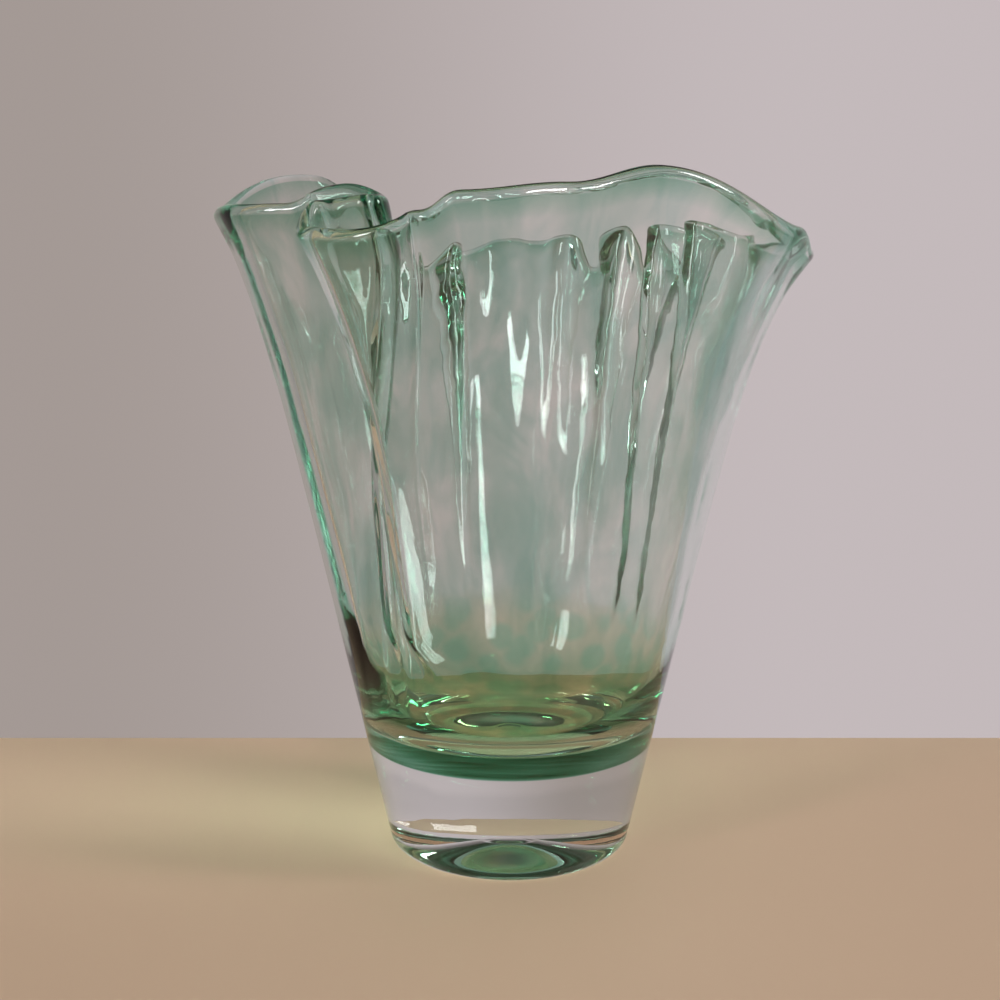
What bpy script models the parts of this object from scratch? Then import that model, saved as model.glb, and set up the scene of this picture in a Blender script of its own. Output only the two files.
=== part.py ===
# A handmade glass vase: a thick solid foot, a wall that flares as it rises, and a rim
# gathered into pleats, one of them pushed over until the rim doubles back on itself.
# It is blown as one piece, so the whole vase is one closed solid.
#
# Metres, +Z up. Angles go round from the front of the vase (-Y), towards +X.

import math

import bmesh
import bpy
import numpy as np

# the main sizes
LIP_HEIGHT = 0.240          # the rim, where it is neither lifted nor lowered
RIM_RADIUS = 0.104          # the rim's lobes, to the middle of the glass
FOOT_RADIUS = 0.0450        # where the line of the wall would meet the table

# the foot
FOOT_EDGE = 0.0045          # rounding of the bottom edge
RING_WIDTH = 0.0085         # flat ring that the vase stands on
PUNT_DEPTH = 0.0095         # hollow under the foot, inside that ring

# the wall
WALL_LEAN = 0.054           # how far it leans out from the foot to the lip, in a straight line
LIP_FLARE = 0.012           # how much further it leans out by the lip
FLARE_POWER = 7             # how late that happens
WALL = 0.0044               # thickness of the wall
LIP = 0.0056                # thickness of the rounded lip
LIP_RISE = 0.012            # height over which the wall thickens to the lip

# the inside
FLOOR_HEIGHT = 0.046        # the solid glass under the floor
FLOOR_RADIUS = 0.024        # flat part of the floor
BOWL_HEIGHT = 0.034         # the curve of the floor, up to where it runs out into the wall
BOWL_ALONG_WALL = 0.8       # how long the curve keeps the wall's direction
BOWL_ALONG_FLOOR = 0.6      # and the floor's
BOWL_CLEAR = 0.004          # plain wall left between the bowl and the rows above it

# the gathered rim, turn by turn: angle, how far the glass is drawn in from RIM_RADIUS, and how
# far the lip is lifted above LIP_HEIGHT. The wall runs nearly straight from turn to turn.
RIM_TURNS = (
    (-76, 0.0020, -0.0045),    # left tip
    (-52, 0.0020, -0.0055),
    (-43, 0.0010, -0.0005),    # the run behind the fold
    (-38, 0.0005, -0.0050),    # back along the middle layer
    (-29, 0.0000, -0.0062),
    (-25, -0.0005, -0.0150),   # the run in front of it
    (-22, -0.0005, -0.0162),
    (-15.5, 0.0030, -0.0110),  # step up to the front lobe
    (-8, 0.0005, -0.0058),
    (9, 0.0015, -0.0035),
    (24, -0.0005, 0.0018),     # front right lobe
    (60, -0.0020, -0.0125),
    (71, -0.0010, -0.0180),    # right tip
    (93, 0.0080, -0.0110),
    (111, 0.0000, -0.0035),
    (116.5, 0.0230, 0.0005),   # from here round the back, pleats and lobes in turn
    (124, 0.0010, -0.0065),
    (131.8, 0.0245, -0.0030),
    (137.5, 0.0020, -0.0210),
    (143.5, 0.0010, -0.0225),
    (149, 0.0120, -0.0010),
    (158, 0.0010, -0.0195),
    (164.5, 0.0080, -0.0015),
    (171.5, 0.0040, -0.0050),
    (180.5, 0.0070, -0.0010),
    (192.8, 0.0010, -0.0110),
    (196.5, 0.0100, -0.0020),
    (200.2, 0.0010, -0.0170),
    (207, 0.0010, -0.0185),
    (215.5, 0.0120, 0.0020),
    (230, 0.0000, 0.0160),     # the high lobe at the back left
)
TURN_ROUNDING = 0.6         # how round the deep pleats are; 0 gives sharp ones
PLEAT_START = 0.28          # share of the height below which the wall is plain
PLEAT_EARLY = 0.45          # how much of a deep pleat grows evenly up the wall
PLEAT_DEEP = 0.030          # how deep such a pleat is; shallower ones start later
PLEAT_POWER = 3             # how late the rest of it comes
LOBE_POWER = 8              # how late a lobe bends out beyond the plain wall

# the fold, where the rim runs past itself, turns back and comes forward again
FOLD_ANGLE = -32.5
FOLD_HALF = 15.5            # degrees that it takes up on each side
FOLD_SWING = 8.2            # degrees that each turn of it is pushed over
FOLD_DEPTH = 0.0195         # from the run in front to the run behind
FOLD_TURN = 0.36            # share of FOLD_HALF over which each turn steps outwards
FOLD_BEFORE = 34            # degrees before FOLD_ANGLE where the run behind leaves the left lobe
FOLD_LEAD = 26              # degrees over which it does
FOLD_FOOT = 0.050           # height where the fold starts as a groove
FOLD_FULL = 0.180           # height where it is at its deepest
FOLD_DRIFT = 6.5            # degrees further round that the groove starts
SWING_FOOT = 0.135          # height where it starts to be pushed over
SWING_FULL = 0.225

# the mesh
COLUMNS_PER_TURN = 5
COLUMN_ANGLE = 6.5          # widest spacing of columns on the plain lobes, in degrees
FOLD_COLUMNS = 24
WALL_ROWS = 15
LIP_ROWS = 4
EDGE_ROWS = 2
BOWL_ROWS = 4
PUNT_ROWS = 3


def ease(x):
    """0 below 0, 1 above 1 and a smooth run between them."""
    x = np.clip(x, 0.0, 1.0)
    return 0.5 - 0.5 * np.cos(math.pi * x)


def body_radius(z):
    """Middle of the wall, as it would be without pleats."""
    up = z / LIP_HEIGHT
    return FOOT_RADIUS + WALL_LEAN * up + LIP_FLARE * up ** FLARE_POWER - WALL / 2


def column_angles():
    """Angles of the columns of the mesh, closer together in the pleats and in the fold."""
    fold_start = FOLD_ANGLE - FOLD_HALF
    fold_end = FOLD_ANGLE + FOLD_HALF
    angles = list(np.linspace(fold_start, fold_end, FOLD_COLUMNS, endpoint=False))
    stops = [fold_end]
    stops += [turn[0] for turn in RIM_TURNS if turn[0] > fold_end]
    stops += [turn[0] + 360 for turn in RIM_TURNS if turn[0] < fold_start]
    stops += [fold_start + 360]
    for start, end in zip(stops, stops[1:]):
        count = max(COLUMNS_PER_TURN, math.ceil((end - start) / COLUMN_ANGLE))
        angles += list(np.linspace(start, end, count, endpoint=False))
    return np.array(angles)


def rim_line(column):
    """For each column: how far its turn is pushed round, its reach and its lip height."""
    shift = np.zeros_like(column)
    reach = np.zeros_like(column)
    height = np.zeros_like(column)
    first = RIM_TURNS[0]
    closed = RIM_TURNS + ((first[0] + 360, first[1], first[2]),)
    for (start, in0, lift0), (end, in1, lift1) in zip(closed, closed[1:]):
        place = (column - start) % 360
        inside = place < end - start
        share = place[inside] / (end - start)
        rounded = math.degrees(TURN_ROUNDING * abs(in1 - in0) / RIM_RADIUS)
        push = min(end - start, rounded) / (2 * math.pi)
        shift[inside] = push * np.sin(2 * math.pi * share)
        reach[inside] = RIM_RADIUS - in0 + (in0 - in1) * ease(share)
        height[inside] = LIP_HEIGHT + lift0 + (lift1 - lift0) * ease(share)
    return shift, reach, height


def turn_from(column, angle):
    """Degrees from an angle to each column, the short way round."""
    return (column - angle + 180) % 360 - 180


def fold_line(column):
    """The fold's push round the vase, as a share of FOLD_SWING, and its depth, as a share."""
    turn = turn_from(column, FOLD_ANGLE)
    place = turn / FOLD_HALF
    within = np.clip(place, -1.0, 1.0)
    push = -(within + np.sin(1.5 * math.pi * within))
    first_turn = ease((place + 1 / 3) / FOLD_TURN + 0.5)
    second_turn = ease((place - 1 / 3) / FOLD_TURN + 0.5)
    lead = ease((turn + FOLD_BEFORE) / FOLD_LEAD)
    return push, lead * (1 - (first_turn + second_turn) / 2)


def growth(up, bend):
    """How much of a pleat, or of a lobe's bend outwards, there is at a share of its height."""
    early = PLEAT_EARLY * np.minimum(1.0, np.abs(bend) / PLEAT_DEEP)
    pleat = early * up + (1 - early) * up ** PLEAT_POWER
    return np.where(bend < 0, pleat, up ** LOBE_POWER)


def wall_grid(column, share):
    """Middle of the wall: one row of points for each share of the height."""
    shift, reach, lip = rim_line(column)
    push, behind = fold_line(column)
    near_fold = ease(2 - np.abs(turn_from(column, FOLD_ANGLE)) / FOLD_HALF)
    top = lip - LIP / 2
    bend = reach - body_radius(top)
    rows = []
    for s in share:
        z = FOOT_EDGE + (top - FOOT_EDGE) * s
        up = max(0.0, (s - PLEAT_START) / (1 - PLEAT_START))
        depth = FOLD_DEPTH * ease((z - FOLD_FOOT) / (FOLD_FULL - FOLD_FOOT))
        swung = ease((z - SWING_FOOT) / (SWING_FULL - SWING_FOOT))
        drift = FOLD_DRIFT * (1 - swung) * ease(z / FOLD_FOOT) * near_fold
        turn = column + shift * ease(2 * up) + push * FOLD_SWING * swung - drift
        angle = np.radians(turn)
        radius = body_radius(z) + bend * growth(up, bend) - behind * depth
        rows.append(np.stack((radius * np.sin(angle), -radius * np.cos(angle), z), axis=-1))
    return np.array(rows)


def outward(grid):
    """Direction out of the wall at each point of the grid."""
    around = np.roll(grid, -1, axis=1) - np.roll(grid, 1, axis=1)
    rising = np.gradient(grid, axis=0)
    across = np.cross(around, rising)
    return across / np.linalg.norm(across, axis=-1, keepdims=True)


def turned(column, profile):
    """Rings of points for a profile of (radius, height)."""
    angle = np.radians(column)
    rings = []
    for radius, z in profile:
        ring = (radius * np.sin(angle), -radius * np.cos(angle), np.full_like(angle, z))
        rings.append(np.stack(ring, axis=-1))
    return np.array(rings)


def underside_profile():
    """From the middle of the punt out to the foot's rounded edge."""
    stand = body_radius(FOOT_EDGE) + WALL / 2 - FOOT_EDGE
    punt = stand - RING_WIDTH
    profile = []
    for i in range(1, PUNT_ROWS + 1):
        out = i / PUNT_ROWS
        profile.append((punt * out, PUNT_DEPTH * (1 + math.cos(math.pi * out)) / 2))
    for i in range(EDGE_ROWS):
        turn = math.pi / 2 * i / EDGE_ROWS
        profile.append((stand + FOOT_EDGE * math.sin(turn), FOOT_EDGE * (1 - math.cos(turn))))
    return profile


def bowl_profile():
    """From the wall's inside face down into the floor, as one smooth curve."""
    top = FLOOR_HEIGHT + BOWL_HEIGHT
    wall = body_radius(top) - WALL / 2
    down = BOWL_HEIGHT * BOWL_ALONG_WALL
    start = np.array((wall, top))
    below = np.array((wall - WALL_LEAN / LIP_HEIGHT * down, top - down))
    across = (wall - FLOOR_RADIUS) * BOWL_ALONG_FLOOR
    beside = np.array((FLOOR_RADIUS + across, FLOOR_HEIGHT))
    end = np.array((FLOOR_RADIUS, FLOOR_HEIGHT))
    profile = []
    for i in range(BOWL_ROWS + 1):
        t = i / BOWL_ROWS
        point = start * (1 - t) ** 3 + below * 3 * t * (1 - t) ** 2
        point = point + beside * 3 * t ** 2 * (1 - t) + end * t ** 3
        profile.append(tuple(point))
    return profile


def lip_rings(edge, normal, rising):
    """The rounded lip, over the top edge of the wall."""
    rings = []
    for i in range(1, LIP_ROWS):
        turn = math.pi * i / LIP_ROWS
        rings.append(edge + LIP / 2 * (normal * math.cos(turn) + rising * math.sin(turn)))
    return rings


def skin_rings():
    """Every ring of the vase, from the punt over the lip to the floor."""
    column = column_angles()
    middle = wall_grid(column, np.linspace(0, 1, WALL_ROWS + 1))
    normal = outward(middle)
    below_lip = middle[-1, :, 2] - middle[:, :, 2]
    thickness = WALL + (LIP - WALL) * ease(1 - below_lip / LIP_RISE)
    half = normal * thickness[..., None] / 2
    outside = middle + half
    inside = middle - half
    rising = middle[-1] - middle[-2]
    rising = rising / np.linalg.norm(rising, axis=-1, keepdims=True)
    lip = lip_rings(middle[-1], normal[-1], rising)
    lowest = FLOOR_HEIGHT + BOWL_HEIGHT + BOWL_CLEAR
    down = [ring for ring in inside[::-1] if ring[:, 2].min() > lowest]
    under = turned(column, underside_profile())
    bowl = turned(column, bowl_profile())
    return [*under, *outside, *lip, *down, *bowl]


def centre_on_origin(work):
    """Puts the middle of the vase's overall width and depth over the origin, and its foot on it."""
    points = np.array([vert.co for vert in work.verts])
    low = points.min(axis=0)
    high = points.max(axis=0)
    move = (-(low[0] + high[0]) / 2, -(low[1] + high[1]) / 2, -low[2])
    bmesh.ops.translate(work, verts=work.verts, vec=move)


def vase_mesh():
    work = bmesh.new()
    loops = [[work.verts.new(point) for point in ring] for ring in skin_rings()]
    punt = work.verts.new((0, 0, PUNT_DEPTH))
    floor = work.verts.new((0, 0, FLOOR_HEIGHT))
    count = len(loops[0])
    for i in range(count):
        j = (i + 1) % count
        for lower, upper in zip(loops, loops[1:]):
            work.faces.new((lower[i], lower[j], upper[j], upper[i]))
        work.faces.new((punt, loops[0][j], loops[0][i]))
        work.faces.new((floor, loops[-1][i], loops[-1][j]))
    bmesh.ops.recalc_face_normals(work, faces=work.faces)
    centre_on_origin(work)
    mesh = bpy.data.meshes.new("vase")
    work.to_mesh(mesh)
    work.free()
    return mesh


def glass():
    material = bpy.data.materials.new("sea green glass")
    material.use_nodes = True
    shader = material.node_tree.nodes["Principled BSDF"]
    shader.inputs["Base Color"].default_value = (0.60, 0.80, 0.71, 1)
    shader.inputs["Metallic"].default_value = 0.0
    shader.inputs["Roughness"].default_value = 0.02
    shader.inputs["IOR"].default_value = 1.5
    shader.inputs["Transmission Weight"].default_value = 1.0
    return material


def build():
    for old in list(bpy.data.objects):
        bpy.data.objects.remove(old, do_unlink=True)
    mesh = vase_mesh()
    mesh.materials.append(glass())
    mesh.shade_smooth()
    vase = bpy.data.objects.new("vase", mesh)
    bpy.context.scene.collection.objects.link(vase)


build()
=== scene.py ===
import math

import bmesh
import bpy
import numpy as np
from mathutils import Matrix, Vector, noise


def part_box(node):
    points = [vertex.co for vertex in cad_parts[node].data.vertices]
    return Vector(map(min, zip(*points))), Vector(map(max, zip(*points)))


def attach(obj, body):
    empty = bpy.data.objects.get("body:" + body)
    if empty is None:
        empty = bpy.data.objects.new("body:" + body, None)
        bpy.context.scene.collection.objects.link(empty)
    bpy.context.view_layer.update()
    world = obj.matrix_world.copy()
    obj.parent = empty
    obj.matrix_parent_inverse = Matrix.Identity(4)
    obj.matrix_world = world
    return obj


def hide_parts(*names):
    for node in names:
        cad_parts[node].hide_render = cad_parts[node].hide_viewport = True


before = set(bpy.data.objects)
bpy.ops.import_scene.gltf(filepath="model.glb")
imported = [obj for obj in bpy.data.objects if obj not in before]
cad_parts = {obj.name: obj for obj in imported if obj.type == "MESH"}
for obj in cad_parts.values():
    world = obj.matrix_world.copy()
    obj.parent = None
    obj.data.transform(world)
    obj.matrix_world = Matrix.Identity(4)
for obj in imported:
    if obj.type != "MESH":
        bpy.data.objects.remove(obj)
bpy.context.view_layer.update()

# sizes of the blown shape, in metres; angles are degrees round from the front, towards +X
shape = {
    "lipHeight": 0.240,
    "rimRadius": 0.104,
    "footRadius": 0.0450,
    "footEdge": 0.0045,      # rounding of the bottom edge
    "ringWidth": 0.0085,     # of the ring that the vase stands on
    "puntDepth": 0.0095,     # of the hollow inside that ring
    "wallLean": 0.054,       # how far the wall leans out by the lip
    "lipFlare": 0.012,       # and how far its flare adds to that
    "flarePower": 7,
    "wall": 0.0044,
    "lip": 0.0056,
    "lipRise": 0.012,        # height over which the wall thickens to the lip
    "floorHeight": 0.046,
    "floorRadius": 0.024,
    "bowlHeight": 0.034,
    "bowlAlongWall": 0.8,
    "bowlAlongFloor": 0.6,
    "bowlClear": 0.004,
    "turnRounding": 0.6,     # how far a pleat's turns are rounded sideways
    "pleatStart": 0.28,      # share of the height where the pleats begin
    "pleatEarly": 0.45,      # share of a deep pleat that comes in evenly
    "pleatDeep": 0.030,
    "pleatPower": 3,
    "lobePower": 8,
    "foldAngle": -32.5,
    "foldHalf": 15.5,
    "foldSwing": 8.2,        # degrees that the rim runs past itself
    "foldDepth": 0.0195,
    "foldTurn": 0.36,
    "foldBefore": 34,
    "foldLead": 26,
    "foldFoot": 0.050,
    "foldFull": 0.180,
    "foldDrift": 6.5,        # degrees that its groove drifts on the way down
    "swingFoot": 0.135,
    "swingFull": 0.225,
}
# turn by turn round the rim: angle, how far it is drawn in, how far its lip is lifted
rimTurns = (
    (-76, 0.0020, -0.0045),    # left tip
    (-52, 0.0020, -0.0055),
    (-43, 0.0010, -0.0005),    # the run behind the fold
    (-38, 0.0005, -0.0050),    # back along the middle layer
    (-29, 0.0000, -0.0062),
    (-25, -0.0005, -0.0150),   # the run in front of it
    (-22, -0.0005, -0.0162),
    (-15.5, 0.0030, -0.0110),  # step up to the front lobe
    (-8, 0.0005, -0.0058),
    (9, 0.0015, -0.0035),
    (24, -0.0005, 0.0018),     # front right lobe
    (60, -0.0020, -0.0125),
    (71, -0.0010, -0.0180),    # right tip
    (93, 0.0080, -0.0110),
    (111, 0.0000, -0.0035),
    (116.5, 0.0230, 0.0005),   # from here round the back, pleats and lobes in turn
    (124, 0.0010, -0.0065),
    (131.8, 0.0245, -0.0030),
    (137.5, 0.0020, -0.0210),
    (143.5, 0.0010, -0.0225),
    (149, 0.0120, -0.0010),
    (158, 0.0010, -0.0195),
    (164.5, 0.0080, -0.0015),
    (171.5, 0.0040, -0.0050),
    (180.5, 0.0070, -0.0010),
    (192.8, 0.0010, -0.0110),
    (196.5, 0.0070, -0.0020),
    (200.2, 0.0010, -0.0170),
    (207, 0.0010, -0.0185),
    (215.5, 0.0120, 0.0020),
    (230, 0.0000, 0.0160),     # the high lobe at the back left
)


def ease(x):
    x = np.clip(x, 0.0, 1.0)
    return 0.5 - 0.5 * np.cos(math.pi * x)


def bodyRadius(z):
    up = z / shape["lipHeight"]
    flare = shape["lipFlare"] * up ** shape["flarePower"]
    return shape["footRadius"] + shape["wallLean"] * up + flare - shape["wall"] / 2


# angles of the columns of a grid, so many to each turn of the rim and more in the fold
def columnAngles(perTurn, widest, inFold):
    start = shape["foldAngle"] - shape["foldHalf"]
    end = shape["foldAngle"] + shape["foldHalf"]
    angles = list(np.linspace(start, end, inFold, endpoint=False))
    stops = [end]
    stops += [turn[0] for turn in rimTurns if turn[0] > end]
    stops += [turn[0] + 360 for turn in rimTurns if turn[0] < start]
    stops += [start + 360]
    for a, b in zip(stops, stops[1:]):
        count = max(perTurn, math.ceil((b - a) / widest))
        angles += list(np.linspace(a, b, count, endpoint=False))
    return np.array(angles)


# sideways shift, radius and height of the rim at each column
def rimLine(column):
    shift = np.zeros_like(column)
    reach = np.zeros_like(column)
    height = np.zeros_like(column)
    first = rimTurns[0]
    closed = rimTurns + ((first[0] + 360, first[1], first[2]),)
    for (start, in0, lift0), (end, in1, lift1) in zip(closed, closed[1:]):
        place = (column - start) % 360
        inside = place < end - start
        share = place[inside] / (end - start)
        rounded = math.degrees(shape["turnRounding"] * abs(in1 - in0) / shape["rimRadius"])
        push = min(end - start, rounded) / (2 * math.pi)
        shift[inside] = push * np.sin(2 * math.pi * share)
        reach[inside] = shape["rimRadius"] - in0 + (in0 - in1) * ease(share)
        height[inside] = shape["lipHeight"] + lift0 + (lift1 - lift0) * ease(share)
    return shift, reach, height


def turnFrom(column, angle):
    return (column - angle + 180) % 360 - 180


def nearFold(column):
    return ease(2 - np.abs(turnFrom(column, shape["foldAngle"])) / shape["foldHalf"])


# how far the rim runs past itself and how far back it lies; the fold's two turns are a third of
# its half width to either side of its middle
def foldLine(column):
    turn = turnFrom(column, shape["foldAngle"])
    place = turn / shape["foldHalf"]
    within = np.clip(place, -1.0, 1.0)
    push = -(within + np.sin(1.5 * math.pi * within))
    firstTurn = ease((place + 1 / 3) / shape["foldTurn"] + 0.5)
    secondTurn = ease((place - 1 / 3) / shape["foldTurn"] + 0.5)
    lead = ease((turn + shape["foldBefore"]) / shape["foldLead"])
    return push, lead * (1 - (firstTurn + secondTurn) / 2)


def lipTop(column):
    return rimLine(column)[2] - shape["lip"] / 2


# middle of the wall for rows of shares of the height, one share for each column
def wallGrid(column, share):
    shift, reach, lip = rimLine(column)
    push, behind = foldLine(column)
    top = lip - shape["lip"] / 2
    bend = reach - bodyRadius(top)
    z = shape["footEdge"] + (top - shape["footEdge"]) * share
    up = np.maximum(0.0, (share - shape["pleatStart"]) / (1 - shape["pleatStart"]))
    early = shape["pleatEarly"] * np.minimum(1.0, np.abs(bend) / shape["pleatDeep"])
    pleat = early * up + (1 - early) * up ** shape["pleatPower"]
    lobe = up ** shape["lobePower"]
    folded = ease((z - shape["foldFoot"]) / (shape["foldFull"] - shape["foldFoot"]))
    swung = ease((z - shape["swingFoot"]) / (shape["swingFull"] - shape["swingFoot"]))
    drift = shape["foldDrift"] * (1 - swung) * ease(z / shape["foldFoot"]) * nearFold(column)
    turn = column + shift * pleat + push * shape["foldSwing"] * swung - drift
    angle = np.radians(turn)
    radius = bodyRadius(z) + bend * np.where(bend < 0, pleat, lobe)
    radius = radius - behind * shape["foldDepth"] * folded
    return np.stack((radius * np.sin(angle), -radius * np.cos(angle), z), axis=-1)


def ringOf(column, radius, z):
    angle = np.radians(column)
    flat = np.full_like(angle, z)
    return np.stack((radius * np.sin(angle), -radius * np.cos(angle), flat), axis=-1)


def outward(grid):
    around = np.roll(grid, -1, axis=1) - np.roll(grid, 1, axis=1)
    rising = np.gradient(grid, axis=0)
    across = np.cross(around, rising)
    return across / np.linalg.norm(across, axis=-1, keepdims=True)


# slow unevenness of hand-worked glass, as a share from -1 to 1, drawn out up the wall
def unevenness(rest, size, stretch, seed):
    shares = np.zeros(rest.shape[:2])
    for i in range(rest.shape[0]):
        for j in range(rest.shape[1]):
            x, y, z = rest[i, j]
            shares[i, j] = noise.noise(Vector((x / size + seed, y / size, z / size / stretch)))
    return shares


ringFlat = 1e-5  # the ring that the vase stands on is flat to within this
weld = 1e-7      # points closer than this are one


# middle of that ring, in the frame's own place
def footCentre():
    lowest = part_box("vase")[0][2]
    points = [v.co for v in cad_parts["vase"].data.vertices if v.co.z < lowest + ringFlat]
    xs = [p.x for p in points]
    ys = [p.y for p in points]
    return ((min(xs) + max(xs)) / 2, (min(ys) + max(ys)) / 2, 0)


# draws a section point by point and spins it round the middle; rings are the same rows again,
# each point where the gathering takes it, and the place on the plain body is kept for patterns
def spunAndGathered(name, section, rings, column, slots):
    work = bmesh.new()
    row = work.verts.layers.int.new("row")
    place = work.verts.layers.float_vector.new("plainPlace")
    vert = work.verts.new((section[0][0], 0, section[0][1]))
    line = [vert]
    for number, (radius, height) in enumerate(section[1:], 1):
        vert = bmesh.ops.extrude_vert_indiv(work, verts=[vert])["verts"][0]
        vert.co = (radius, 0, height)
        vert[row] = number
        line.append(vert)
    bmesh.ops.spin(
        work, geom=line + work.edges[:], cent=(0, 0, 0), axis=(0, 0, 1),
        angle=2 * math.pi, steps=len(column), use_merge=True,
    )
    bmesh.ops.remove_doubles(work, verts=work.verts, dist=weld)
    step = 2 * math.pi / len(column)
    for face in work.faces:
        face.material_index = slots[min(vert[row] for vert in face.verts)]
    for vert in work.verts:
        number = vert[row]
        at = round(math.atan2(vert.co.y, vert.co.x) / step) % len(column)
        radius = math.hypot(vert.co.x, vert.co.y)
        turn = math.radians(column[at])
        vert[place] = (radius * math.sin(turn), -radius * math.cos(turn), vert.co.z)
        vert.co = rings[number][at]
    bmesh.ops.recalc_face_normals(work, faces=work.faces)
    bmesh.ops.translate(work, verts=work.verts, vec=footCentre())
    mesh = bpy.data.meshes.new(name)
    work.to_mesh(mesh)
    work.free()
    mesh.shade_smooth()
    piece = bpy.data.objects.new(name, mesh)
    bpy.context.scene.collection.objects.link(piece)
    print(name, "has", len(mesh.polygons), "faces")
    return piece


body = {
    "perTurn": 12,
    "widest": 1.5,
    "inFold": 60,
    "wallRows": 70,
    "lipRows": 10,
    "bowlRows": 14,
    "puntRows": 64,
    "edgeRows": 5,
    "tightest": 0.7,       # share of a bend's radius that the glass may fill
    "easing": 5,
    "scar": 0.0052,        # radius of the ring left where the iron was broken off
    "scarWidth": 0.0008,
    "scarDepth": 0.0006,
    "evenings": 14,        # how often the foot of the fold is evened out
    "evenFrom": 0.130,
    "evenTo": 0.215,
    "evenIn": 0.02,
    "evenOut": 0.03,
    "waves": 0.00022,      # how deep the inside is uneven
    "waveSize": 0.016,
    "waveStretch": 3.0,
    "waveSeed": 3,
    "waveFade": 0.01,
}


# share of its half thickness that the wall keeps on one side, less where it is folded tight
def roomInBend(middle, normal, half, side):
    before = middle - np.roll(middle, 1, axis=1)
    after = np.roll(middle, -1, axis=1) - middle
    pitch = np.linalg.norm(before, axis=-1, keepdims=True)
    pitchAfter = np.linalg.norm(after, axis=-1, keepdims=True)
    bend = (after / pitchAfter - before / pitch) * 2 / (pitch + pitchAfter)
    tight = np.maximum(0.0, side * (bend * normal).sum(axis=-1))
    tight = np.maximum(tight, np.maximum(np.roll(tight, 1, axis=1), np.roll(tight, -1, axis=1)))
    for _ in range(body["easing"]):
        tight = (np.roll(tight, 1, axis=1) + 2 * tight + np.roll(tight, -1, axis=1)) / 4
    return (1 + (half * tight / body["tightest"]) ** 4) ** -0.25


# evens out a grid where the mask is one, by the mean of each point's neighbours
def evened(grid, mask, times):
    for _ in range(times):
        beside = (np.roll(grid, 1, axis=1) + np.roll(grid, -1, axis=1)) / 2
        above = grid.copy()
        above[1:-1] = (grid[:-2] + grid[2:]) / 2
        grid = grid + mask[..., None] * ((beside + above) / 2 - grid) / 2
    return grid


# from the middle of the hollow under the foot out to the foot of the wall
def undersideProfile(puntRows, edgeRows):
    edge = shape["footEdge"]
    stand = bodyRadius(edge) + shape["wall"] / 2 - edge
    punt = stand - shape["ringWidth"]
    profile = []
    for i in range(puntRows + 1):
        out = i / puntRows
        radius = punt * out
        fromScar = (radius - body["scar"]) / body["scarWidth"]
        scar = body["scarDepth"] * math.exp(-fromScar ** 2)
        profile.append((radius, shape["puntDepth"] * (1 + math.cos(math.pi * out)) / 2 - scar))
    for i in range(edgeRows):
        turn = math.pi / 2 * i / edgeRows
        profile.append((stand + edge * math.sin(turn), edge * (1 - math.cos(turn))))
    return profile


# from the inside of the wall down to the flat middle of the floor
def bowlProfile(rows):
    floor = shape["floorHeight"]
    top = floor + shape["bowlHeight"]
    wall = bodyRadius(top) - shape["wall"] / 2
    down = shape["bowlHeight"] * shape["bowlAlongWall"]
    start = np.array((wall, top))
    below = np.array((wall - shape["wallLean"] / shape["lipHeight"] * down, top - down))
    across = (wall - shape["floorRadius"]) * shape["bowlAlongFloor"]
    beside = np.array((shape["floorRadius"] + across, floor))
    end = np.array((shape["floorRadius"], floor))
    profile = []
    for i in range(rows + 1):
        t = i / rows
        point = start * (1 - t) ** 3 + below * 3 * t * (1 - t) ** 2
        point = point + beside * 3 * t ** 2 * (1 - t) + end * t ** 3
        profile.append(tuple(point))
    profile.append((0.0, floor))
    return profile


def lipRings(edge, normal, rising, radius, rows):
    rings = []
    for i in range(1, rows):
        turn = math.pi * i / rows
        rings.append(edge + radius * (normal * math.cos(turn) + rising * math.sin(turn)))
    return rings


def lipSection(top, radius, rows):
    section = []
    for i in range(1, rows):
        turn = math.pi * i / rows
        section.append((bodyRadius(top) + radius * math.cos(turn), top + radius * math.sin(turn)))
    return section


# outside and inside of the wall, evened out at the foot of the fold
def wallSides(column, middle, normal, rest):
    z = middle[..., 2]
    belowLip = z[-1] - z
    thicker = ease(1 - belowLip / shape["lipRise"])
    half = (shape["wall"] + (shape["lip"] - shape["wall"]) * thicker) / 2
    uneven = unevenness(rest, body["waveSize"], body["waveStretch"], body["waveSeed"])
    waves = body["waves"] * uneven * ease(belowLip / body["waveFade"])
    outer = half * roomInBend(middle, normal, half, 1)
    inner = (half + waves) * roomInBend(middle, normal, half, -1)
    mask = nearFold(column) * ease((z - body["evenFrom"]) / body["evenIn"])
    mask = mask * ease((body["evenTo"] - z) / body["evenOut"])
    outside = evened(middle + normal * outer[..., None], mask, body["evenings"])
    inside = evened(middle - normal * inner[..., None], mask, body["evenings"])
    return outside, inside


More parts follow.
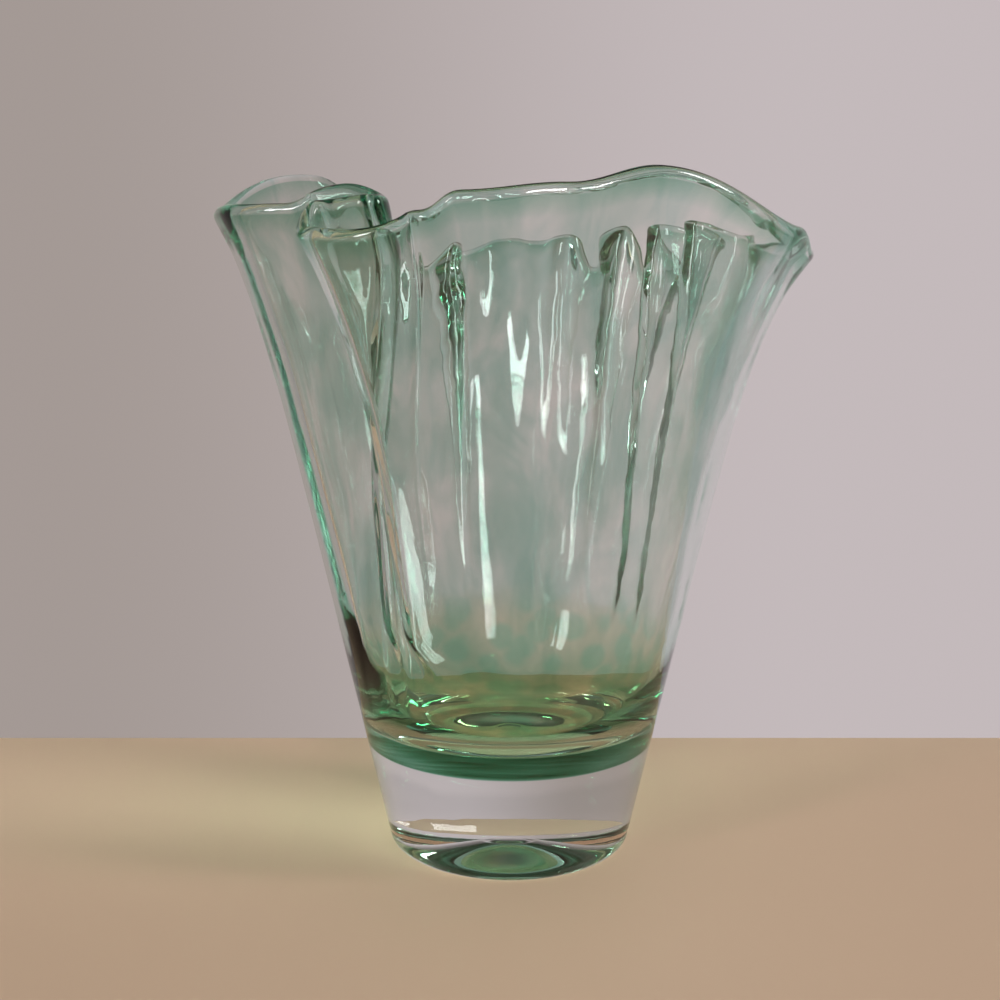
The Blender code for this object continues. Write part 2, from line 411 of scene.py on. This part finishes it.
def buildBody():
    column = columnAngles(body["perTurn"], body["widest"], body["inFold"])
    share = np.linspace(0, 1, body["wallRows"] + 1)
    middle = wallGrid(column, np.broadcast_to(share[:, None], (len(share), len(column))))
    normal = outward(middle)
    plainTop = shape["lipHeight"] - shape["lip"] / 2
    height = shape["footEdge"] + (plainTop - shape["footEdge"]) * share
    rest = np.array([ringOf(column, bodyRadius(z), z) for z in height])
    outside, inside = wallSides(column, middle, normal, rest)
    rising = middle[-1] - middle[-2]
    rising = rising / np.linalg.norm(rising, axis=-1, keepdims=True)
    lip = lipRings(middle[-1], normal[-1], rising, shape["lip"] / 2, body["lipRows"])
    lowest = shape["floorHeight"] + shape["bowlHeight"] + shape["bowlClear"]
    kept = [k for k in range(len(inside) - 1, -1, -1) if inside[k, :, 2].min() > lowest]
    under = undersideProfile(body["puntRows"], body["edgeRows"])
    bowl = bowlProfile(body["bowlRows"])
    half = shape["wall"] / 2
    section = [*under]
    section += [(bodyRadius(z) + half, z) for z in height]
    section += lipSection(plainTop, half, body["lipRows"])
    section += [(bodyRadius(height[k]) - half, height[k]) for k in kept]
    section += bowl
    rings = [ringOf(column, r, z) for r, z in under]
    rings += [*outside, *lip, *(inside[k] for k in kept)]
    rings += [ringOf(column, r, z) for r, z in bowl]
    inwards = len(under) + len(share) + len(lip) // 2
    slots = [0 if k < inwards else 1 for k in range(len(rings))]
    return spunAndGathered("glassBody", section, rings, column, slots)


green = {
    "perTurn": 9,
    "widest": 2.6,
    "inFold": 48,
    "wallRows": 64,
    "bottomRows": 26,
    "cornerRows": 6,
    "bottom": 0.0405,       # height of its underside
    "corner": 0.0050,       # rounding between its bottom and its side
    "innerCorner": 0.0060,  # the same on its upper side
    "atBottom": 0.0017,     # how thick it is under the floor
    "atRing": 0.0012,       # and nearer the wall
    "ringStart": 0.020,
    "ringSpan": 0.014,
    "atFoot": 0.0012,       # at the foot of the wall
    "atWall": 0.00005,      # up the wall
    "atLip": 0.0017,        # and in the lip
    "lipRise": 0.006,
    "thinnest": 0.00012,
    "thin": 0.060,          # height over which it thins
    "top": 0.998,           # how far up it goes, as a share
    "casing": 0.0006,       # clear glass outside it at the bottom
    "streaks": 0.8,         # how streaky its bottom is
    "streakLong": 0.022,
    "streakWide": 0.005,
    "streakSeed": 5,
    "sidesThin": 0.72,      # how much of its bottom is missing at the left and right
    "sidesFrom": 0.014,
    "sidesSpan": 0.018,
    "patches": 0.55,        # how uneven it is
    "footPatches": 0.5,     # and how much of that is left at the foot of the wall
    "patchSize": 0.020,
    "patchStretch": 1.6,
    "patchSeed": 11,
    "patchTop": 0.235,
    "stepOut": 0.0001,      # between the rows of the section that is gathered into the wall
    "stepUp": 0.003,
}


# from the middle of a bottom that rises there by so much, round a corner to the foot of the wall
def cupProfile(wall, low, corner, rise):
    profile = []
    for i in range(green["bottomRows"]):
        out = (wall - corner) * i / green["bottomRows"]
        fall = float(ease((out - green["ringStart"]) / green["ringSpan"]))
        profile.append((out, low + rise * (1 - fall)))
    for i in range(green["cornerRows"] + 1):
        turn = math.pi / 2 * i / green["cornerRows"]
        out = wall - corner + corner * math.sin(turn)
        profile.append((out, low + corner - corner * math.cos(turn)))
    return profile


# the upper side of the bottom, which is streaky and thin towards the left and right
def drawnOut(ring, start):
    low = green["bottom"]
    for point in ring:
        x, y, z = point
        spot = Vector((x / green["streakLong"], y / green["streakWide"], green["streakSeed"]))
        streak = 1 + green["streaks"] * noise.noise(spot)
        missing = float(ease((abs(x) - green["sidesFrom"]) / green["sidesSpan"]))
        sides = 1 - green["sidesThin"] * missing
        level = float(ease((start - z) / green["corner"]))
        point[2] = z + level * (z - low) * (sides * streak - 1)
    return ring


# how far the two sides of the layer lie outside the middle of the wall
def layerSides(column, middle, normal, start):
    z = middle[..., 2]
    thinned = ease((z - start) / green["thin"])
    wall = green["atFoot"] + (green["atWall"] - green["atFoot"]) * thinned
    inLip = ease(1 - (z[-1] - z) / green["lipRise"])
    thick = wall + (green["atLip"] - wall) * inLip
    height = np.linspace(start, green["patchTop"], len(middle))
    rest = np.array([ringOf(column, bodyRadius(level), level) for level in height])
    uneven = unevenness(rest, green["patchSize"], green["patchStretch"], green["patchSeed"])
    left = green["footPatches"] + (1 - green["footPatches"]) * thinned
    thick = thick * (1 + green["patches"] * uneven * left)
    half = shape["wall"] / 2
    outer = (half - green["casing"]) * (1 - thinned) + thick / 2 * thinned
    inner = outer - thick
    outer = outer * roomInBend(middle, normal, half, 1)
    inner = np.where(inner < 0, inner * roomInBend(middle, normal, half, -1), inner)
    return outer, np.minimum(inner, outer - green["thinnest"])


# the green layer, a thin cup between the clear casing and the clear inside
def buildGreen():
    column = columnAngles(green["perTurn"], green["widest"], green["inFold"])
    start = green["bottom"] + green["corner"]
    level = (start - shape["footEdge"]) / (lipTop(column) - shape["footEdge"])
    climb = np.linspace(0, 1, green["wallRows"] + 1)[:, None]
    middle = wallGrid(column, level + (green["top"] - level) * climb)
    normal = outward(middle)
    outer, inner = layerSides(column, middle, normal, start)
    outside = middle + normal * outer[..., None]
    inside = middle + normal * inner[..., None]
    wallOut = float(np.hypot(outside[0, :, 0], outside[0, :, 1]).mean())
    wallIn = float(np.hypot(inside[0, :, 0], inside[0, :, 1]).mean())
    under = cupProfile(wallOut, green["bottom"], green["corner"], 0.0)
    low = green["bottom"] + green["atRing"]
    over = cupProfile(wallIn, low, green["innerCorner"], green["atBottom"] - green["atRing"])
    steps = range(1, len(outside))
    out = green["stepOut"]
    up = green["stepUp"]
    section = [*under]
    section += [(wallOut + k * out, start + k * up) for k in steps]
    section += [(wallIn + k * out, start + k * up) for k in reversed(steps)]
    section += over[::-1]
    rings = [ringOf(column, r, z) for r, z in under]
    rings += [*outside[1:], *inside[:0:-1]]
    rings += [drawnOut(ringOf(column, r, z), start) for r, z in over[::-1]]
    return spunAndGathered("greenLayer", section, rings, column, [0] * len(rings))


glassLook = {
    "ior": 1.5,
    "roughness": 0.0,
    "tint": (0.998, 1.0, 0.999, 1),
    "shadow": (0.95, 0.95, 0.948, 1),
    # the grey for the solid foot is partly thick glass and partly painted shade of the shadowed floor
    # seen through it
    "footGreyAndShade": (0.80, 0.82, 0.82, 1),    # the solid foot is a little greyer
    "footPlaces": (0.10, 0.35, 0.85, 0.98),
    "clouds": {"Scale": 42.0, "Detail": 3.0, "Roughness": 0.55, "Distortion": 0.8},
    "cloudStretch": 0.35,                 # under 1 draws a pattern out up the wall
    "cloudPlaces": (0.42, 0.62),
    "streakPale": (0.94, 0.94, 0.91, 1),
    "streakGreen": (0.56, 0.76, 0.70, 1),
    "cells": 80.0,                        # round the floor inside
    "cellSoft": 0.15,
    "cellPlaces": (0.38, 0.58),
    "cellGreen": (0.52, 0.74, 0.52, 1),
    "cellAmber": (1.0, 0.80, 0.58, 1),
    "cellsFrom": 0.070,
    "cellsTo": 0.090,
    "aboveCells": 48.0,                   # further up, larger, paler and drawn out
    "aboveSoft": 0.6,
    "abovePlaces": (0.30, 0.60),
    "cellAbove": (0.65, 0.80, 0.75, 1),
    "cellClear": (1, 1, 1, 1),
    "aboveStretch": 0.45,
    "wander": {"Scale": 30.0},
    "wanderShare": 0.03,
    "ripples": {"Scale": 60.0, "Detail": 2.0},
    "ripple": 0.05,
    "rippleDepth": 0.002,
}


def newMaterial(name):
    material = bpy.data.materials.new(name)
    material.use_nodes = True
    material.node_tree.nodes.clear()
    return material, material.node_tree.nodes, material.node_tree.links


def stretched(nodes, links, place, upward):
    mapping = nodes.new("ShaderNodeMapping")
    mapping.inputs["Scale"].default_value = (1.0, 1.0, upward)
    links.new(place, mapping.inputs["Vector"])
    return mapping.outputs["Vector"]


def noiseOver(nodes, links, place, values):
    texture = nodes.new("ShaderNodeTexNoise")
    for socket, value in values.items():
        texture.inputs[socket].default_value = value
    links.new(place, texture.inputs["Vector"])
    return texture


def cellsOver(nodes, links, place, scale, soft):
    cells = nodes.new("ShaderNodeTexVoronoi")
    cells.feature = "SMOOTH_F1"
    cells.inputs["Scale"].default_value = scale
    cells.inputs["Smoothness"].default_value = soft
    links.new(place, cells.inputs["Vector"])
    return cells.outputs["Distance"]


def shadeOf(nodes, links, value, places, low, high):
    shade = nodes.new("ShaderNodeValToRGB")
    first, last = shade.color_ramp.elements
    first.position, last.position = places
    first.color = low
    last.color = high
    links.new(value, shade.inputs["Fac"])
    return shade.outputs["Color"]


# a value's way from low to high, as a share from 0 to 1
def wayUp(nodes, links, value, low, high):
    way = nodes.new("ShaderNodeMapRange")
    way.interpolation_type = "SMOOTHSTEP"
    way.inputs["From Min"].default_value = low
    way.inputs["From Max"].default_value = high
    links.new(value, way.inputs["Value"])
    return way


def splitOf(nodes, links, vector):
    split = nodes.new("ShaderNodeSeparateXYZ")
    links.new(vector, split.inputs["Vector"])
    return split


# green cells with amber between them round the floor, and paler ones above
def cellTint(nodes, links, place):
    cells = cellsOver(nodes, links, place, glassLook["cells"], glassLook["cellSoft"])
    shade = shadeOf(
        nodes, links, cells, glassLook["cellPlaces"], glassLook["cellGreen"], glassLook["cellAmber"],
    )
    height = splitOf(nodes, links, place).outputs["Z"]
    fade = wayUp(nodes, links, height, glassLook["cellsFrom"], glassLook["cellsTo"])
    mix = nodes.new("ShaderNodeMix")
    mix.data_type = "RGBA"
    links.new(fade.outputs["Result"], mix.inputs["Factor"])
    links.new(shade, mix.inputs["A"])
    links.new(cloudCells(nodes, links, place), mix.inputs["B"])
    return mix.outputs["Result"]


def cloudCells(nodes, links, place):
    drawn = stretched(nodes, links, place, glassLook["aboveStretch"])
    wander = noiseOver(nodes, links, drawn, glassLook["wander"])
    moved = nodes.new("ShaderNodeMix")
    moved.data_type = "VECTOR"
    moved.inputs["Factor"].default_value = glassLook["wanderShare"]
    links.new(drawn, moved.inputs["A"])
    links.new(wander.outputs["Color"], moved.inputs["B"])
    spot = moved.outputs["Result"]
    cells = cellsOver(nodes, links, spot, glassLook["aboveCells"], glassLook["aboveSoft"])
    return shadeOf(
        nodes, links, cells, glassLook["abovePlaces"], glassLook["cellAbove"], glassLook["cellClear"],
    )


# the colour of the inside, cloudy streaks over the cells
def insideTint(nodes, links, place):
    cells = cellTint(nodes, links, place)
    drawn = stretched(nodes, links, place, glassLook["cloudStretch"])
    clouds = noiseOver(nodes, links, drawn, glassLook["clouds"])
    streaks = shadeOf(
        nodes, links, clouds.outputs["Fac"], glassLook["cloudPlaces"],
        glassLook["streakPale"], glassLook["streakGreen"],
    )
    both = nodes.new("ShaderNodeMix")
    both.data_type = "RGBA"
    both.blend_type = "MULTIPLY"
    both.inputs["Factor"].default_value = 1.0
    links.new(streaks, both.inputs["A"])
    links.new(cells, both.inputs["B"])
    return both.outputs["Result"]


# the colour of the outside, greyer from above the underside of the foot to the green: partly the
# thick glass, partly painted shade of the shadowed floor seen through the foot
# the grey band here is partly painted shade
def footGreyAndShade(nodes, links, place):
    scale = nodes.new("ShaderNodeMapRange")
    scale.inputs["From Max"].default_value = green["bottom"]
    links.new(splitOf(nodes, links, place).outputs["Z"], scale.inputs["Value"])
    shade = nodes.new("ShaderNodeValToRGB")
    shade.color_ramp.interpolation = "EASE"
    low, greyFrom, greyTo, high = glassLook["footPlaces"]
    stops = shade.color_ramp.elements
    stops[0].position = low
    stops[0].color = glassLook["tint"]
    stops[1].position = high
    stops[1].color = glassLook["tint"]
    for position in (greyFrom, greyTo):
        stops.new(position).color = glassLook["footGreyAndShade"]
    links.new(scale.outputs["Result"], shade.inputs["Fac"])
    return shade.outputs["Color"]


def glassMaterial(name, tintOf):
    material, nodes, links = newMaterial(name)
    out = nodes.new("ShaderNodeOutputMaterial")
    glass = nodes.new("ShaderNodeBsdfPrincipled")
    glass.inputs["Roughness"].default_value = glassLook["roughness"]
    glass.inputs["IOR"].default_value = glassLook["ior"]
    glass.inputs["Transmission Weight"].default_value = 1.0
    spot = nodes.new("ShaderNodeAttribute")
    spot.attribute_name = "plainPlace"
    place = spot.outputs["Vector"]
    links.new(tintOf(nodes, links, place), glass.inputs["Base Color"])
    ripples = noiseOver(nodes, links, place, glassLook["ripples"])
    bump = nodes.new("ShaderNodeBump")
    bump.inputs["Strength"].default_value = glassLook["ripple"]
    bump.inputs["Distance"].default_value = glassLook["rippleDepth"]
    links.new(ripples.outputs["Fac"], bump.inputs["Height"])
    links.new(bump.outputs["Normal"], glass.inputs["Normal"])
    clear = nodes.new("ShaderNodeBsdfTransparent")
    clear.inputs["Color"].default_value = glassLook["shadow"]
    path = nodes.new("ShaderNodeLightPath")
    mix = nodes.new("ShaderNodeMixShader")
    links.new(path.outputs["Is Shadow Ray"], mix.inputs["Fac"])
    links.new(glass.outputs["BSDF"], mix.inputs[1])
    links.new(clear.outputs["BSDF"], mix.inputs[2])
    links.new(mix.outputs["Shader"], out.inputs["Surface"])
    return material


greenLook = {"color": (0.0, 0.55, 0.33, 1), "density": 330.0}


def greenMaterial():
    material, nodes, links = newMaterial("green layer")
    out = nodes.new("ShaderNodeOutputMaterial")
    clear = nodes.new("ShaderNodeBsdfTransparent")
    clear.inputs["Color"].default_value = (1, 1, 1, 1)
    inside = nodes.new("ShaderNodeVolumeAbsorption")
    inside.inputs["Color"].default_value = greenLook["color"]
    inside.inputs["Density"].default_value = greenLook["density"]
    links.new(clear.outputs["BSDF"], out.inputs["Surface"])
    links.new(inside.outputs["Volume"], out.inputs["Volume"])
    return material


def dress():
    vase = buildBody()
    vase.data.materials.append(glassMaterial("clear casing", footGreyAndShade))
    vase.data.materials.append(glassMaterial("streaked inside", insideTint))
    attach(vase, "root")
    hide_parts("vase")
    layer = buildGreen()
    layer.data.materials.append(greenMaterial())
    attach(layer, "root")
    print("vase dressed")


stage = {
    "floorColour": (0.70, 0.49, 0.335, 1),
    "floorRough": 0.6,
    "floorBack": 0.113,                  # the floor ends this far behind the vase
    "floorSize": 8.0,
    # the wall's left colour is darker by painted shade, as if a shadow fell on it
    "wallLeftPaintedShade": (0.37, 0.32, 0.30, 1),   # behind the vase, from left to right
    "wallRight": (0.55, 0.49, 0.50, 1),
    "wallSpread": (-0.35, 0.25),
    "roomColour": (0.22, 0.22, 0.225, 1),
    "roomSpread": (0.0, 0.7),
    "overhead": 0.35,                    # how bright the room is above, to the rest
    "overheadSpread": (0.25, 0.75),
}


def buildFloor():
    size = stage["floorSize"]
    work = bmesh.new()
    bmesh.ops.create_grid(work, x_segments=1, y_segments=1, size=size)
    bmesh.ops.translate(work, verts=work.verts, vec=(0, stage["floorBack"] - size, 0))
    mesh = bpy.data.meshes.new("floor")
    work.to_mesh(mesh)
    work.free()
    floor = bpy.data.objects.new("floor", mesh)
    bpy.context.scene.collection.objects.link(floor)
    material, nodes, links = newMaterial("pale floor")
    out = nodes.new("ShaderNodeOutputMaterial")
    paint = nodes.new("ShaderNodeBsdfPrincipled")
    paint.inputs["Base Color"].default_value = stage["floorColour"]
    paint.inputs["Roughness"].default_value = stage["floorRough"]
    links.new(paint.outputs["BSDF"], out.inputs["Surface"])
    floor.data.materials.append(material)


def colourMix(nodes, links, factor, first, second):
    mix = nodes.new("ShaderNodeMix")
    mix.data_type = "RGBA"
    links.new(factor, mix.inputs["Factor"])
    for name, colour in (("A", first), ("B", second)):
        if isinstance(colour, tuple):
            mix.inputs[name].default_value = colour
        else:
            links.new(colour, mix.inputs[name])
    return mix.outputs["Result"]


# a pale wall behind the vase, painted darker to the left as painted shade, a dimmer room round it,
# and less light from straight above
def buildWorld():
    world = bpy.data.worlds.new("studio")
    world.use_nodes = True
    nodes = world.node_tree.nodes
    links = world.node_tree.links
    nodes.clear()
    out = nodes.new("ShaderNodeOutputWorld")
    back = nodes.new("ShaderNodeBackground")
    coordinate = nodes.new("ShaderNodeTexCoord")
    split = splitOf(nodes, links, coordinate.outputs["Generated"])
    across = wayUp(nodes, links, split.outputs["X"], *stage["wallSpread"])
    # painted shade: the wall seen behind the vase darkens towards the left
    wall = colourMix(
        nodes, links, across.outputs["Result"], stage["wallLeftPaintedShade"], stage["wallRight"],
    )
    away = wayUp(nodes, links, split.outputs["Y"], *stage["roomSpread"])
    away.interpolation_type = "LINEAR"
    room = colourMix(nodes, links, away.outputs["Result"], stage["roomColour"], wall)
    above = wayUp(nodes, links, split.outputs["Z"], *stage["overheadSpread"])
    above.inputs["To Min"].default_value = 1.0
    above.inputs["To Max"].default_value = stage["overhead"]
    dimmed = nodes.new("ShaderNodeVectorMath")
    dimmed.operation = "SCALE"
    links.new(room, dimmed.inputs[0])
    links.new(above.outputs["Result"], dimmed.inputs["Scale"])
    path = nodes.new("ShaderNodeLightPath")
    isSeen = path.outputs["Is Camera Ray"]
    seen = colourMix(nodes, links, isSeen, dimmed.outputs["Vector"], wall)
    links.new(seen, back.inputs["Color"])
    back.inputs["Strength"].default_value = 1.0
    links.new(back.outputs["Background"], out.inputs["Surface"])
    bpy.context.scene.world = world


lamps = {
    "window right": {
        "at": (3.0, -0.70, 1.38), "aim": (0, 0, 0.12), "size": (0.52, 2.0), "power": 64,
    },
    "window front": {
        "at": (0.90, -3.4, 1.38), "aim": (0, 0, 0.12), "size": (0.60, 1.2), "power": 52,
    },
    "window left": {
        "at": (-2.6, -2.2, 1.55), "aim": (0, 0, 0.15), "size": (0.44, 1.4), "power": 36,
    },
}


def buildLamps():
    for name, lamp in lamps.items():
        light = bpy.data.lights.new(name, "AREA")
        light.shape = "RECTANGLE"
        light.size = lamp["size"][0]
        light.size_y = lamp["size"][1]
        light.energy = lamp["power"]
        thing = bpy.data.objects.new(name, light)
        bpy.context.scene.collection.objects.link(thing)
        thing.location = lamp["at"]
        aim = Vector(lamp["aim"]) - Vector(lamp["at"])
        thing.rotation_euler = aim.to_track_quat("-Z", "Y").to_euler()


view = {
    "side": -0.003,
    "back": 0.47,
    "height": 0.199,
    "down": 8.26,     # degrees below level
    "lens": 45.83,    # both in millimetres
    "sensor": 36,
    "nearest": 0.01,
}


def buildCamera():
    data = bpy.data.cameras.new("camera")
    data.lens = view["lens"]
    data.sensor_width = view["sensor"]
    data.clip_start = view["nearest"]
    camera = bpy.data.objects.new("camera", data)
    bpy.context.scene.collection.objects.link(camera)
    camera.location = (view["side"], -view["back"], view["height"])
    camera.rotation_euler = (math.radians(90 - view["down"]), 0, 0)
    bpy.context.scene.camera = camera


bounces = 64  # light turns many times inside the thick foot and the pleats


def setUp():
    scene = bpy.context.scene
    scene.view_settings.view_transform = "Standard"
    scene.cycles.max_bounces = bounces
    scene.cycles.transmission_bounces = bounces
    scene.cycles.glossy_bounces = bounces
    scene.cycles.transparent_max_bounces = bounces
    scene.cycles.volume_bounces = 0


dress()
buildFloor()
buildWorld()
buildLamps()
buildCamera()
setUp()
print("floor, light and camera set")
